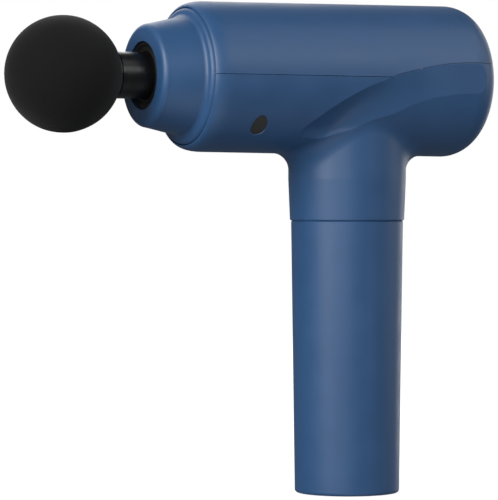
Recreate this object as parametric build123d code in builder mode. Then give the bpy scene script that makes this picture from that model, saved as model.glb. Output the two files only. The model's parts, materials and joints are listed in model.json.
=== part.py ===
"""Hand-held massage gun: a straight grip under a round barrel, with a ball head that a motor drives
to and fro.  Millimetres.  The origin is the middle of the grip's flat foot, +Z runs up the grip, and the
barrel lies along X with its nose towards -X."""
import os
from math import atan2, cos, degrees, exp, hypot, pi, radians, sin, sqrt, tan, tanh

from build123d import *

# Overall places
BARREL_Z = 196.4  # height of the barrel's axis above the foot
NOSE_X = -108.0  # front face of the nose cone
RIM_X = -86.5  # front rim of the barrel
REAR_X = 65.2  # flat rear end of the barrel
RIM_R = 32.2
BARREL_FRONT_X, BARREL_FRONT_R = -77.5, 34.95  # where the front rounding meets the straight taper
BARREL_REAR_X, BARREL_REAR_R = 51.5, 36.3  # where the taper meets the rear rounding
REAR_FLAT_R = 24.0
WALL = 2.2
PARTING_GAP = 0.25  # line between the top cover and the lower housing

# Swept band on each side of the barrel: it rises from the neck and turns back to the rear end.  Its two
# edges are spirals about a pivot behind the neck, radius = least + growth * (angle from SWEEP_TURN)**2
PIVOT_X, PIVOT_H = 36.5, -44.8  # along the barrel, and height from the barrel's axis
SWEEP_TURN = 80.0  # degrees, from straight ahead over the top
UPPER_EDGE = (50.9, 0.0063, 0.0047)  # least radius, growth ahead of the turn, growth behind it
LOWER_EDGE = (36.6, 0.0026, 0.0042)
BAND_DEPTH, VALLEY_DEPTH = 0.7, 3.2  # how deep the band and its valley at the neck are let in
VALLEY_ANGLE, VALLEY_SPREAD = 24.0, 20.0
SWEEP_LAST_ANGLE = 104.0
FADE_H, FADE_LENGTH = -31.0, 7.0  # the band fades out towards this height, under the barrel
FADE_RISE = 1.5  # below that, its surface lies this far outside the barrel
FLARE_H, FLARE_LENGTH = -22.0, 12.0  # the neck's side flares out under this height into its fillet
CREASE_CLEAR = 0.3  # the parting line runs this much above the band's upper edge
BAND_EXTRA_WALL = 0.2  # the wall behind the band is this much thicker

# Grip and neck
SEAM_Z = 129.4  # ring seam between the grip tube and the neck
GRIP_FOOT_R = 24.9
GRIP_TOP_R = 26.65
NECK_SEAM_R = 27.2
NECK_TOP_Z, NECK_TOP_R = 149.0, 28.0
NECK_BORE_R = 25.2
SPIGOT_TOP_Z, SPIGOT_R, SPIGOT_BORE_R = 137.0, 24.3, 22.6
NECK_FILLET = 11.0
FOOT_ROUND = 1.5

# Nose
NOSE_HOLE_R = 15.84
FLANGE_R = 31.7
MOUTH_R = 32.0  # barrel's mouth round the nose flange
LIP_R = 30.45  # the two barrel halves hold the nose cone by this lip
LIP_FRONT_X, LIP_REAR_X = -82.4, -79.6

# Ball head and plunger
BALL_X, BALL_R = -147.6, 26.8
BALL_FLAT_X = -123.1
PLUNGER_R = 10.77
RUNNING = 0.05  # radial clearance of a running fit
PLUNGER_MOUTH_X = -122.4
SOCKET_R, SOCKET_END_X = 8.6, -98.0
SLEEVE_END_X = -84.0
SLEEVE_BORE_R = 9.6
PLUNGER_END_X = -45.0
CLEVIS_END_X, CLEVIS_HALF_Y, CLEVIS_HALF_Z = -18.0, 8.0, 7.6
STEM_R, STEM_END_X = 8.5, -99.5
RING_XS = (-112.0, -104.0)  # stem O-rings
RING_MIDDLE_R, RING_WIRE_R = 7.55, 1.0

# Crank drive: the crank turns about a vertical axis, at rest in the middle of the stroke
CRANK_X = 12.0
CRANK_R = 5.0  # half the stroke
ROD_LENGTH = 38.0
WRIST_X = CRANK_X - sqrt(ROD_LENGTH**2 - CRANK_R**2)
WRIST_PIN_R = 2.5
CRANK_PIN_R = 3.0
ROD_HALF_Z = 4.0
SMALL_END_R, BIG_END_R = 7.0, 10.0
BUSH_R, BIG_BEARING_R = 4.0, 7.0
DISC_TOP, DISC_BOTTOM = -4.4, -8.4  # heights from the barrel's axis
DISC_R, COUNTERWEIGHT_R = 9.5, 19.0

# Drive frame and motor, heights from the barrel's axis
PLATE_TOP, PLATE_BOTTOM = -8.8, -11.8
SHAFT_R = 2.5
BEARING_R, BEARING_THICK = 6.5, 4.0
BOSS_R, BOSS_BOTTOM = 9.6, -22.3
BELL_R, BELL_BORE_R = 20.5, 19.2
BELL_TOP, BELL_BOTTOM, BELL_FLOOR = -13.0, -24.8, -23.3
STATOR_TOP, STATOR_BOTTOM = -14.6, -20.6
TOOTH_COUNT, TOOTH_WIDTH = 9, 2.6
TERMINAL_TOP = -12.5
BUSHING_R = 14.0
EARS = ((-44.0, -25.0), (-44.0, 25.0), (30.0, -25.0), (30.0, 25.0))
EAR_R = 4.5
GROMMET_THICK = 2.7

# Housing screws enter from below, each under a rubber plug
HOUSING_SCREWS = ((-61.0, -26.0), (-61.0, 26.0))
PLUG_R, PLUG_TOP = 4.0, -17.2

# Display at the rear end
BEZEL_R, BEZEL_X = 21.8, 65.5
GLASS_R, GLASS_X = 19.9, 64.9
BEZEL_FLOOR_X = 57.7
DISPLAY_SCREW_R = 16.2

# Control board over the drive, heights from the barrel's axis
BOARD_BOTTOM, BOARD_THICK = 15.0, 1.6
BOARD_X = (-30.0, 34.0)
BOARD_WIDTH = 44.0
BOARD_POSTS = ((-26.0, -18.0), (-26.0, 18.0), (30.0, -18.0), (30.0, 18.0))

# Battery: two layers of three cells
CELL_R, CELL_LENGTH = 9.2, 65.0
CELL_SPACING = 18.6
CELL_BOTTOM_Z = 19.0
STRIP_THICK = 0.3
HOLDER_R = 21.4
HOLDER_BOTTOM_Z = 17.0
LEDGE_R = 19.5
PROTECTION_Z = 154.0

# Foot: base cap, charging socket and rocker switch
CAP_R, CAP_THICK = 22.5, 3.0
CAP_SCREW_X = 19.2
SOCKET_Y = -13.5
JACK_R, JACK_BORE_R, JACK_PIN_R = 4.4, 2.9, 1.0
SWITCH_Y = 10.2
ROCKER_PIVOT_Z = 4.9
ROCKER_HALF_ANGLE = 8.0
ROCKER_HALF_LENGTH, ROCKER_HALF_WIDTH = 6.2, 3.9

BARREL_AXIS = Axis((0, 0, BARREL_Z), (1, 0, 0))
SIDE = Plane(origin=(0, 0, BARREL_Z), x_dir=(1, 0, 0), z_dir=(0, -1, 0))  # x along the barrel, y up
PIECES = {}


def level(height):
    """Horizontal sketch plane at this height above the barrel's axis."""
    return Plane.XY.offset(BARREL_Z + height)


def across(x):
    """Sketch plane across the barrel's axis at x: its own x runs along Y, its y along Z."""
    return Plane(origin=(x, 0, BARREL_Z), x_dir=(0, 1, 0), z_dir=(1, 0, 0))


def outline(points, plane=SIDE):
    """Closed face through the points, on a plane."""
    with BuildSketch(plane) as face:
        with BuildLine():
            Polyline(*points, close=True)
        make_face()
    return face.sketch


def tube(inner, outer, low, high, axis_plane):
    """Tube standing on a plane, from low to high along the plane's normal."""
    with BuildPart() as body:
        with BuildSketch(axis_plane.offset(low)):
            Circle(outer)
            if inner:
                Circle(inner, mode=Mode.SUBTRACT)
        extrude(amount=high - low)
    return body.part


def save(name, part):
    """Label a finished piece and write it as parts/name.step."""
    part.label = name
    export_step(part, f"parts/{name}.step")
    PIECES[name] = part


def barrel_solid(inset=0.0):
    """The barrel's outer form, its skin moved inwards by inset."""
    with BuildPart() as body:
        with BuildSketch(SIDE):
            with BuildLine():
                Line((RIM_X, 0), (RIM_X, RIM_R - inset))
                EllipticalCenterArc((BARREL_FRONT_X, RIM_R - inset), BARREL_FRONT_X - RIM_X,
                                    BARREL_FRONT_R - RIM_R, start_angle=90, arc_size=90)
                Line((BARREL_FRONT_X, BARREL_FRONT_R - inset), (BARREL_REAR_X, BARREL_REAR_R - inset))
                EllipticalCenterArc((BARREL_REAR_X, REAR_FLAT_R - inset), REAR_X - BARREL_REAR_X,
                                    BARREL_REAR_R - REAR_FLAT_R, start_angle=0, arc_size=90)
                Line((REAR_X, REAR_FLAT_R - inset), (REAR_X, 0))
                Line((REAR_X, 0), (RIM_X, 0))
            make_face()
        revolve(axis=BARREL_AXIS)
    return body.part


def edge_radius(angle, edge):
    """Distance of a swept edge from the pivot, at an angle from straight ahead over the top."""
    least, ahead, behind = edge
    off = SWEEP_TURN - angle
    return least + (ahead if off > 0 else behind) * off**2


def upper_edge_point(angle):
    """Place of the band's upper edge in the side view: x, and height from the barrel's axis."""
    radius = edge_radius(angle, UPPER_EDGE)
    return PIVOT_X - radius * cos(radians(angle)), PIVOT_H + radius * sin(radians(angle))


def blend_max(a, b, width):
    """The larger of two values, rounded where they come within width of each other."""
    near = max(width - abs(a - b), 0.0) / width
    return max(a, b) + near * near * width / 4


def band_half_width(x, h):
    """Half width of the body over a point of the side view, with the band let into the barrel."""
    radius = hypot(x - PIVOT_X, h - PIVOT_H)
    angle = degrees(atan2(h - PIVOT_H, PIVOT_X - x))
    inner, outer = edge_radius(angle, LOWER_EDGE), edge_radius(angle, UPPER_EDGE)
    place = (radius - inner) / (outer - inner)
    valley = exp(-((angle - VALLEY_ANGLE) / VALLEY_SPREAD) ** 2)
    deepest = BAND_DEPTH + VALLEY_DEPTH * valley - 8 * exp(-angle / 4)
    depth = deepest * 4 * place * (1 - place) * exp(valley * (place - 0.5))
    if depth < 0:
        depth = 5 * tanh(depth / 5)
    fade = min(max((h - FADE_H) / FADE_LENGTH, 0.0), 1.0)
    depth = min(depth, depth * fade - FADE_RISE * (1 - fade))
    taper = (BARREL_REAR_R - BARREL_FRONT_R) / (BARREL_REAR_X - BARREL_FRONT_X)
    barrel_r = BARREL_FRONT_R + taper * (x - BARREL_FRONT_X)
    on_barrel = sqrt(barrel_r**2 - h**2) - depth
    flare = min(max((FLARE_H - h) / FLARE_LENGTH, 0.0), 1.0)
    neck_r = NECK_TOP_R + 0.8 + NECK_FILLET * flare**2
    neck_edge_x = 0.9 * neck_r
    if abs(x) < neck_edge_x:
        on_neck = sqrt(neck_r**2 - x**2)
    else:
        edge_y = sqrt(neck_r**2 - neck_edge_x**2)
        on_neck = edge_y - (abs(x) - neck_edge_x) * neck_edge_x / edge_y
    return blend_max(on_barrel, max(on_neck, -5.0), 5.0)


def beside_band(inset):
    """What lies outside the band's surface on both sides, with that surface moved inwards by inset."""
    first_x, step_x, columns = -50.0, 2.0, 54
    first_h, step_h, rows = -34.0, 1.5, 31
    xs = [first_x + step_x * i for i in range(columns)]
    heights = [first_h + step_h * i for i in range(rows)]
    points = [[Vector(x, band_half_width(x, h) - inset, BARREL_Z + h) for x in xs] for h in heights]
    face = Face.make_surface_from_array_of_points(points, tol=0.1, min_deg=3, max_deg=5)
    with BuildPart() as body:
        extrude(face, amount=RIM_R, dir=(0, 1, 0))
        mirror(about=Plane.XZ)
    return body.part


def under_parting_line(lift):
    """Everything below the parting line, which is raised by lift.  The line runs level along the barrel
    to the band, then along the band's upper edge."""
    front, rear, bottom, half_width = -95.0, 75.0, -90.0, 45.0
    first_angle = 56.0
    edge = [upper_edge_point(first_angle + (SWEEP_LAST_ANGLE - first_angle) * i / 6) for i in range(7)]
    edge = [(x, h + CREASE_CLEAR + lift) for x, h in edge]
    with BuildPart() as body:
        with BuildSketch(SIDE):
            with BuildLine():
                Polyline((front, lift), (edge[0][0] - 1, lift), edge[0])
                Spline(*edge)
                Polyline(edge[-1], (rear, edge[-1][1]), (rear, bottom), (front, bottom), (front, lift))
            make_face()
        extrude(amount=half_width, both=True)
    return body.part


def screws(places, head_r, head_low, head_high, shank_r, shank_end):
    """Screws along Z: a round head with a cross recess, and a plain shank."""
    recess_width, recess_length, recess_depth = 0.6, 1.3 * head_r, 0.8
    face = head_low if shank_end > head_high else head_high
    inward = 1 if shank_end > head_high else -1
    with BuildPart() as body:
        for x, y in places:
            with BuildSketch(Plane.XY.offset(head_low)):
                with Locations((x, y)):
                    Circle(head_r)
            extrude(amount=head_high - head_low)
            with BuildSketch(Plane.XY.offset(face)):
                with Locations((x, y)):
                    Rectangle(recess_length, recess_width)
                    Rectangle(recess_width, recess_length)
            extrude(amount=inward * recess_depth, mode=Mode.SUBTRACT)
            start = head_high if inward > 0 else head_low
            with BuildSketch(Plane.XY.offset(start)):
                with Locations((x, y)):
                    Circle(shank_r)
            extrude(amount=shank_end - start)
    return body.part


def lead(points, diameter):
    """Insulated lead through the points, with the largest bends that its runs allow."""
    route = [Vector(*p) for p in points]
    radii = []
    for before, here, after in zip(route, route[1:], route[2:]):
        run = min((here - before).length, (after - here).length)
        turn = radians((here - before).get_angle(after - here))
        radii.append(0.45 * run / tan(turn / 2))
    with BuildPart() as body:
        with BuildLine() as path:
            if radii:
                FilletPolyline(*route, radius=radii)
            else:
                Line(route[0], route[1])
        with BuildSketch(Plane(origin=route[0], z_dir=route[1] - route[0])):
            Circle(diameter / 2)
        sweep(path=path.line)
    length = sum(edge.length for edge in path.edges())
    solid = body.part.volume / (pi * diameter**2 / 4)
    print(f"lead {length:.1f} mm, volume over section {solid:.1f} mm, bends "
          + " ".join(f"{r:.1f}" for r in radii))
    return body.part


os.makedirs("parts", exist_ok=True)

# ---- Barrel and neck as one hollow body, cut into top cover and lower housing ----
with BuildPart() as outside:
    add(barrel_solid())
    with BuildSketch(Plane.XZ):
        with BuildLine():
            Polyline((0, SEAM_Z), (NECK_SEAM_R - 0.5, SEAM_Z), (NECK_SEAM_R, SEAM_Z + 0.5),
                     (NECK_TOP_R, NECK_TOP_Z), (NECK_TOP_R, BARREL_Z - 5), (0, BARREL_Z - 5), close=True)
        make_face()
    revolve(axis=Axis.Z)
    joint_edges = [e for e in outside.edges().filter_by(GeomType.BSPLINE)
                   if abs(e.center().X) < NECK_TOP_R and e.center().Z < BARREL_Z - 10]
    fillet(joint_edges, NECK_FILLET)
    add(beside_band(0.0), mode=Mode.SUBTRACT)

with BuildPart() as inner_posts:
    for x, y in HOUSING_SCREWS:
        with BuildSketch(level(-34)):
            with Locations((x, y)):
                Circle(PLUG_R + 1.2)
        extrude(amount=68)
    for x, y in EARS:
        with BuildSketch(level(-34)):
            with Locations((x, y)):
                Circle(EAR_R - 0.5)
        extrude(amount=34 + PLATE_BOTTOM - GROMMET_THICK)
    for x, y in BOARD_POSTS:
        with BuildSketch(level(BOARD_BOTTOM + BOARD_THICK)):
            with Locations((x, y)):
                Circle(2.8)
        extrude(amount=18)
    add(barrel_solid(WALL / 2), mode=Mode.INTERSECT)
    add(beside_band(WALL / 2), mode=Mode.SUBTRACT)

with BuildPart() as barrel_cavity:
    with BuildSketch(SIDE):
        with BuildLine():
            Polyline((BARREL_REAR_X, BARREL_REAR_R - WALL), (LIP_REAR_X, BARREL_FRONT_R - WALL),
                     (LIP_REAR_X, LIP_R), (LIP_FRONT_X, LIP_R), (LIP_FRONT_X, MOUTH_R),
                     (RIM_X - 1, MOUTH_R), (RIM_X - 1, 0), (REAR_X - WALL, 0),
                     (REAR_X - WALL, REAR_FLAT_R - WALL))
            EllipticalCenterArc((BARREL_REAR_X, REAR_FLAT_R - WALL), REAR_X - WALL - BARREL_REAR_X,
                                BARREL_REAR_R - REAR_FLAT_R, start_angle=0, arc_size=90)
        make_face()
    revolve(axis=BARREL_AXIS)
    add(beside_band(WALL + BAND_EXTRA_WALL), mode=Mode.SUBTRACT)

with BuildPart() as housing:
    add(outside.part)
    add(barrel_cavity.part, mode=Mode.SUBTRACT)
    add(tube(0, SPIGOT_R, SEAM_Z, SPIGOT_TOP_Z, Plane.XY), mode=Mode.SUBTRACT)
    add(tube(0, NECK_BORE_R, SPIGOT_TOP_Z, BARREL_Z - 8, Plane.XY), mode=Mode.SUBTRACT)
    # pocket for the display, with a ledge that its screws go into
    revolve(outline([(BEZEL_FLOOR_X - 2, DISPLAY_SCREW_R - 2.2), (BEZEL_FLOOR_X - 2, BEZEL_R + 2.2),
                     (REAR_X - 1, BEZEL_R + 2.2), (REAR_X - 1, DISPLAY_SCREW_R - 2.2)]), axis=BARREL_AXIS)
    add(tube(0, BEZEL_R, BEZEL_FLOOR_X, REAR_X + 1, across(0)), mode=Mode.SUBTRACT)
    with BuildSketch(across(BEZEL_FLOOR_X)):
        with PolarLocations(DISPLAY_SCREW_R, 4):
            Circle(1.0)
    extrude(amount=-3, mode=Mode.SUBTRACT)
    add(inner_posts.part)
    for x, y in HOUSING_SCREWS:
        add(Pos(x, y, 0) * tube(0, PLUG_R, BARREL_Z - 34, BARREL_Z - 15, Plane.XY), mode=Mode.SUBTRACT)
        add(Pos(x, y, 0) * tube(0, 1.5, BARREL_Z - 16, BARREL_Z + 12, Plane.XY), mode=Mode.SUBTRACT)
    for x, y in EARS:
        add(Pos(x, y, 0) * tube(0, 1.5, BARREL_Z - 21, BARREL_Z - 12, Plane.XY), mode=Mode.SUBTRACT)
    for x, y in BOARD_POSTS:
        add(Pos(x, y, 0) * tube(0, 1.1, BARREL_Z + 14, BARREL_Z + 22, Plane.XY), mode=Mode.SUBTRACT)

with BuildPart() as top_cover:
    add(housing.part)
    add(under_parting_line(PARTING_GAP), mode=Mode.SUBTRACT)
save("top_cover", top_cover.part)

with BuildPart() as lower_housing:
    add(housing.part)
    add(under_parting_line(0.0), mode=Mode.INTERSECT)
save("lower_housing", lower_housing.part)

with BuildPart() as screw_plugs:
    for x, y in HOUSING_SCREWS:
        add(Pos(x, y, 0) * tube(0, PLUG_R, BARREL_Z - 34, BARREL_Z + PLUG_TOP, Plane.XY))
    add(barrel_solid(0.3), mode=Mode.INTERSECT)
save("screw_plugs", screw_plugs.part)
save("housing_screws", screws(HOUSING_SCREWS, 2.8, BARREL_Z - 17, BARREL_Z - 15, 1.5, BARREL_Z + 10))

# ---- Nose cone, held by the lip between its two flanges, and its dust seal ----
with BuildPart() as nose_cone:
    with BuildSketch(SIDE):
        with BuildLine():
            cone_start = (-105.0, 24.0)
            cone_end = (-89.6, 27.4)
            Line((NOSE_X, NOSE_HOLE_R), (NOSE_X, 21.4))
            RadiusArc((NOSE_X, 21.4), cone_start, 3.0)
            Line(cone_start, cone_end)
            RadiusArc(cone_end, (-87.9, 29.6), -2.4)
            RadiusArc((-87.9, 29.6), (-85.8, FLANGE_R), 2.4)
            Polyline((-85.8, FLANGE_R), (LIP_FRONT_X - 0.1, FLANGE_R), (LIP_FRONT_X - 0.1, LIP_R - 0.15),
                     (LIP_REAR_X + 0.1, LIP_R - 0.15), (LIP_REAR_X + 0.1, FLANGE_R), (-77.5, FLANGE_R),
                     (-77.5, 27.5), (-86.0, 27.0), (-90.0, 24.9), (-104.5, 21.0), (-104.5, NOSE_HOLE_R),
                     (NOSE_X, NOSE_HOLE_R))
        make_face()
    revolve(axis=BARREL_AXIS)
save("nose_cone", nose_cone.part)

with BuildPart() as nose_seal_ring:
    seal_r = PLUNGER_R + 0.4
    revolve(outline([(-106.6, seal_r), (-106.6, seal_r + 0.8), (-106.0, seal_r + 1.6), (-106.0, 13.6),
                     (-106.9, 14.4), (-106.9, NOSE_HOLE_R), (-104.5, NOSE_HOLE_R), (-104.5, 18.5),
                     (-102.8, 18.5), (-102.8, seal_r)]), axis=BARREL_AXIS)
save("nose_seal_ring", nose_seal_ring.part)

# ---- Grip tube ----
with BuildPart() as grip_tube:
    with BuildSketch(Plane.XZ):
        with BuildLine():
            Line((CAP_R + 0.1, 0), (GRIP_FOOT_R - FOOT_ROUND, 0))
            RadiusArc((GRIP_FOOT_R - FOOT_ROUND, 0), (GRIP_FOOT_R, FOOT_ROUND), -FOOT_ROUND)
            Polyline((GRIP_FOOT_R, FOOT_ROUND), (GRIP_TOP_R, SEAM_Z - 0.5), (GRIP_TOP_R - 0.5, SEAM_Z),
                     (SPIGOT_R, SEAM_Z), (SPIGOT_R, SPIGOT_TOP_Z), (SPIGOT_BORE_R, SPIGOT_TOP_Z),
                     (SPIGOT_BORE_R, SEAM_Z - 3), (SPIGOT_BORE_R + 1.4, SEAM_Z - 5),
                     (CAP_R + 0.1, HOLDER_BOTTOM_Z), (LEDGE_R, HOLDER_BOTTOM_Z),
                     (LEDGE_R, HOLDER_BOTTOM_Z - 3), (CAP_R + 0.1, HOLDER_BOTTOM_Z - 3), (CAP_R + 0.1, 0))
        make_face()
    revolve(axis=Axis.Z)
    for x in (-CAP_SCREW_X, CAP_SCREW_X):
        add(Pos(x, 0, 0) * tube(1.0, 3.6, CAP_THICK, HOLDER_BOTTOM_Z - 3, Plane.XY))
save("grip_tube", grip_tube.part)

# ---- Foot: base cap, its screws, charging socket, rocker switch ----
with BuildPart() as base_cap:
    add(tube(0, CAP_R, 0, CAP_THICK, Plane.XY))
    chamfer(base_cap.edges().group_by(Axis.Z)[0], 0.4)
    with BuildSketch(Plane.XY):
        with Locations((-CAP_SCREW_X, 0), (CAP_SCREW_X, 0)):
            Circle(2.4)
    extrude(amount=1.8, mode=Mode.SUBTRACT)
    with BuildSketch(Plane.XY):
        with Locations((-CAP_SCREW_X, 0), (CAP_SCREW_X, 0)):
            Circle(1.2)
        with Locations((0, SOCKET_Y)):
            Circle(JACK_R)
        with Locations((0, SWITCH_Y)):
            Rectangle(10.6, 15.9)
    extrude(amount=CAP_THICK, mode=Mode.SUBTRACT)
    with BuildSketch(Plane.XY):
        with Locations((0, SWITCH_Y)):
            RectangleRounded(13.2, 18.4, 1.5)
        with Locations((0, SOCKET_Y)):
            Circle(JACK_R + 1.1)
    extrude(amount=0.8, mode=Mode.SUBTRACT)
    with BuildSketch(Plane.XY):
        with Locations((0, SWITCH_Y)):
            RectangleRounded(13.2, 18.4, 1.5)
    extrude(amount=2.0, mode=Mode.SUBTRACT)
save("base_cap", base_cap.part)
save("base_screws", screws(((-CAP_SCREW_X, 0), (CAP_SCREW_X, 0)), 2.2, 0.4, 1.8, 1.0, 12.0))

with BuildPart() as charging_socket:
    add(tube(JACK_BORE_R, JACK_R, 0.8, 13, Plane.XY.move(Pos(0, SOCKET_Y, 0))))
    add(tube(JACK_PIN_R, JACK_R, 11, 13, Plane.XY.move(Pos(0, SOCKET_Y, 0))))
    add(tube(JACK_R, JACK_R + 1.6, CAP_THICK, CAP_THICK + 2, Plane.XY.move(Pos(0, SOCKET_Y, 0))))
save("charging_socket", charging_socket.part)

with BuildPart() as charging_pin:
    add(tube(0, JACK_PIN_R, 2.0, 13, Plane.XY.move(Pos(0, SOCKET_Y, 0))))
    fillet(charging_pin.edges().group_by(Axis.Z)[0], 0.4)
save("charging_pin", charging_pin.part)

with BuildPart() as switch_frame:
    with BuildSketch(Plane.XY.offset(0.8)):
        with Locations((0, SWITCH_Y)):
            RectangleRounded(13.0, 18.2, 1.4)
    extrude(amount=1.2)
    chamfer(switch_frame.faces().sort_by(Axis.Z)[0].edges(), 0.4)
    with BuildSketch(Plane.XY.offset(2.0)):
        with Locations((0, SWITCH_Y)):
            Rectangle(10.6, 15.9)
    extrude(amount=11.0)
    with BuildSketch(Plane.XY.offset(0.8)):
        with Locations((0, SWITCH_Y)):
            Rectangle(2 * ROCKER_HALF_WIDTH + 0.7, 13.9)
    extrude(amount=8.2, mode=Mode.SUBTRACT)
    with BuildSketch(Plane.YZ):
        with Locations((SWITCH_Y, ROCKER_PIVOT_Z)):
            Circle(1.2)
    extrude(amount=5.0, both=True, mode=Mode.SUBTRACT)
save("switch_frame", switch_frame.part)

# the rocker's outline is drawn level, then tipped to the off position
with BuildPart() as switch_rocker:
    valley = -2.33
    rise = ROCKER_HALF_LENGTH * tan(radians(ROCKER_HALF_ANGLE))
    rocker_plane = Plane(origin=(0, SWITCH_Y, ROCKER_PIVOT_Z), x_dir=(0, 1, 0), z_dir=(1, 0, 0))
    with BuildSketch(rocker_plane):
        with BuildLine():
            Polyline((-ROCKER_HALF_LENGTH, valley - rise), (0, valley), (ROCKER_HALF_LENGTH, valley - rise),
                     (ROCKER_HALF_LENGTH, 0), (2.0, 2.4), (-2.0, 2.4), (-ROCKER_HALF_LENGTH, 0), close=True)
        make_face()
    extrude(amount=ROCKER_HALF_WIDTH, both=True)
    with BuildSketch(rocker_plane):
        Circle(1.15)
    extrude(amount=4.95, both=True)
rocker_axis = Axis((0, SWITCH_Y, ROCKER_PIVOT_Z), (1, 0, 0))
save("switch_rocker", switch_rocker.part.rotate(rocker_axis, -ROCKER_HALF_ANGLE))

# ---- Battery: six cells, holders, strips and protection board ----
ring_of_three = CELL_SPACING / sqrt(3)
second_layer_z = CELL_BOTTOM_Z + CELL_LENGTH + STRIP_THICK
stack_top_z = second_layer_z + CELL_LENGTH
WIRE_GAP = (0, -17.5)  # the leads climb past the cells here


def triangle(z, corner, thick):
    """Plate of three cells' size: its corners lie past the cells' centres by corner."""
    with BuildPart() as body:
        with BuildSketch(Plane.XY.offset(z)):
            RegularPolygon(ring_of_three + corner, 3, rotation=90)
        extrude(amount=thick)
    return body.part


with BuildPart() as battery_cells:
    for z in (CELL_BOTTOM_Z, second_layer_z):
        with BuildSketch(Plane.XY.offset(z)):
            with PolarLocations(ring_of_three, 3, start_angle=90):
                Circle(CELL_R)
        extrude(amount=CELL_LENGTH)
    fillet(battery_cells.edges().filter_by(GeomType.CIRCLE), 0.8)
save("battery_cells", battery_cells.part)


def cell_holder(low, high, pocket_low, pocket_high, plate_z=None):
    """Round holder with three pockets, and a notch for the leads."""
    with BuildPart() as body:
        add(tube(0, HOLDER_R, low, high, Plane.XY))
        with BuildSketch(Plane.XY.offset(pocket_low)):
            with PolarLocations(ring_of_three, 3, start_angle=90):
                Circle(CELL_R)
        extrude(amount=pocket_high - pocket_low, mode=Mode.SUBTRACT)
        with BuildSketch(Plane.XY.offset(low)):
            with Locations((0, WIRE_GAP[1] - 1)):
                Rectangle(6, 11)
        extrude(amount=high - low, mode=Mode.SUBTRACT)
        if plate_z is not None:
            add(triangle(plate_z, 4.2, STRIP_THICK), mode=Mode.SUBTRACT)
    return body.part


with BuildPart() as cell_holders:
    add(cell_holder(HOLDER_BOTTOM_Z, CELL_BOTTOM_Z + 3, CELL_BOTTOM_Z - STRIP_THICK, CELL_BOTTOM_Z + 3,
                    CELL_BOTTOM_Z - STRIP_THICK))
    add(cell_holder(second_layer_z - 4, second_layer_z + 4, second_layer_z - 4, second_layer_z + 4))
    add(cell_holder(stack_top_z - 3, stack_top_z + 2.7, stack_top_z - 3, stack_top_z + STRIP_THICK,
                    stack_top_z))
    with BuildSketch(Plane.XY.offset(stack_top_z + 2.7)):
        with PolarLocations(14, 3, start_angle=30):
            Circle(1.8)
    extrude(amount=PROTECTION_Z - stack_top_z - 2.7)
save("cell_holders", cell_holders.part)

with BuildPart() as nickel_strips:
    add(triangle(CELL_BOTTOM_Z - STRIP_THICK, 4.0, STRIP_THICK))
    with BuildSketch(Plane.XY.offset(second_layer_z - STRIP_THICK)):
        with PolarLocations(ring_of_three, 3, start_angle=90):
            Circle(5)
    extrude(amount=STRIP_THICK)
    add(triangle(stack_top_z, 4.0, STRIP_THICK))
save("nickel_strips", nickel_strips.part)

with BuildPart() as protection_board:
    add(tube(0, 19.5, PROTECTION_Z, PROTECTION_Z + 1.6, Plane.XY))
    with BuildSketch(Plane.XY.offset(PROTECTION_Z + 1.6)):
        with GridLocations(8, 7, 3, 2):
            Rectangle(5, 4)
    extrude(amount=1.4)
save("protection_board", protection_board.part)

# ---- Drive frame on rubber grommets ----
with BuildPart() as drive_frame:
    with BuildSketch(level(PLATE_BOTTOM)):
        with Locations((-32, 0)):
            Rectangle(88, 28)
        with Locations((CRANK_X, 0)):
            Circle(22)
        for x, y in EARS:
            foot_x = CRANK_X if x > 0 else x
            reach = hypot(x - foot_x, y)
            with Locations(((x + foot_x) / 2, y / 2)):
                SlotCenterToCenter(reach, 2 * EAR_R, rotation=degrees(atan2(y, x - foot_x)))
        with Locations(*EARS):
            Circle(1.8, mode=Mode.SUBTRACT)
    extrude(amount=PLATE_TOP - PLATE_BOTTOM)
    add(tube(0, BUSHING_R + 4, -76, -58, across(0)))
    add(tube(0, BUSHING_R, -77, -52, across(0)), mode=Mode.SUBTRACT)
    add(tube(0, 12, -52, -38, across(0)), mode=Mode.SUBTRACT)
    with BuildSketch(level(BOSS_BOTTOM)):
        with Locations((CRANK_X, 0)):
            Circle(BOSS_R)
    extrude(amount=PLATE_BOTTOM - BOSS_BOTTOM)
    with BuildSketch(level(BOSS_BOTTOM)):
        with Locations((CRANK_X, 0)):
            Circle(5.2)
    extrude(amount=PLATE_TOP - BOSS_BOTTOM, mode=Mode.SUBTRACT)
    for low in (BOSS_BOTTOM, PLATE_TOP - BEARING_THICK):
        with BuildSketch(level(low)):
            with Locations((CRANK_X, 0)):
                Circle(BEARING_R)
        extrude(amount=BEARING_THICK, mode=Mode.SUBTRACT)
    # groove under the plate for the motor's leads
    with BuildSketch(level(PLATE_BOTTOM)):
        with Locations((CRANK_X, -17)):
            Rectangle(6.4, 12)
    extrude(amount=0.9, mode=Mode.SUBTRACT)
save("drive_frame", drive_frame.part)

with BuildPart() as vibration_grommets:
    for x, y in EARS:
        add(Pos(x, y, BARREL_Z + PLATE_BOTTOM - GROMMET_THICK) * tube(1.8, EAR_R - 0.3, 0, GROMMET_THICK,
                                                                       Plane.XY))
save("vibration_grommets", vibration_grommets.part)
save("frame_screws", screws(EARS, 3.0, BARREL_Z + PLATE_TOP, BARREL_Z + PLATE_TOP + 2, 1.5, BARREL_Z - 20))

with BuildPart() as plunger_bushing:
    add(tube(PLUNGER_R + RUNNING, BUSHING_R, NOSE_X + 10, -52, across(0)))
save("plunger_bushing", plunger_bushing.part)

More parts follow.
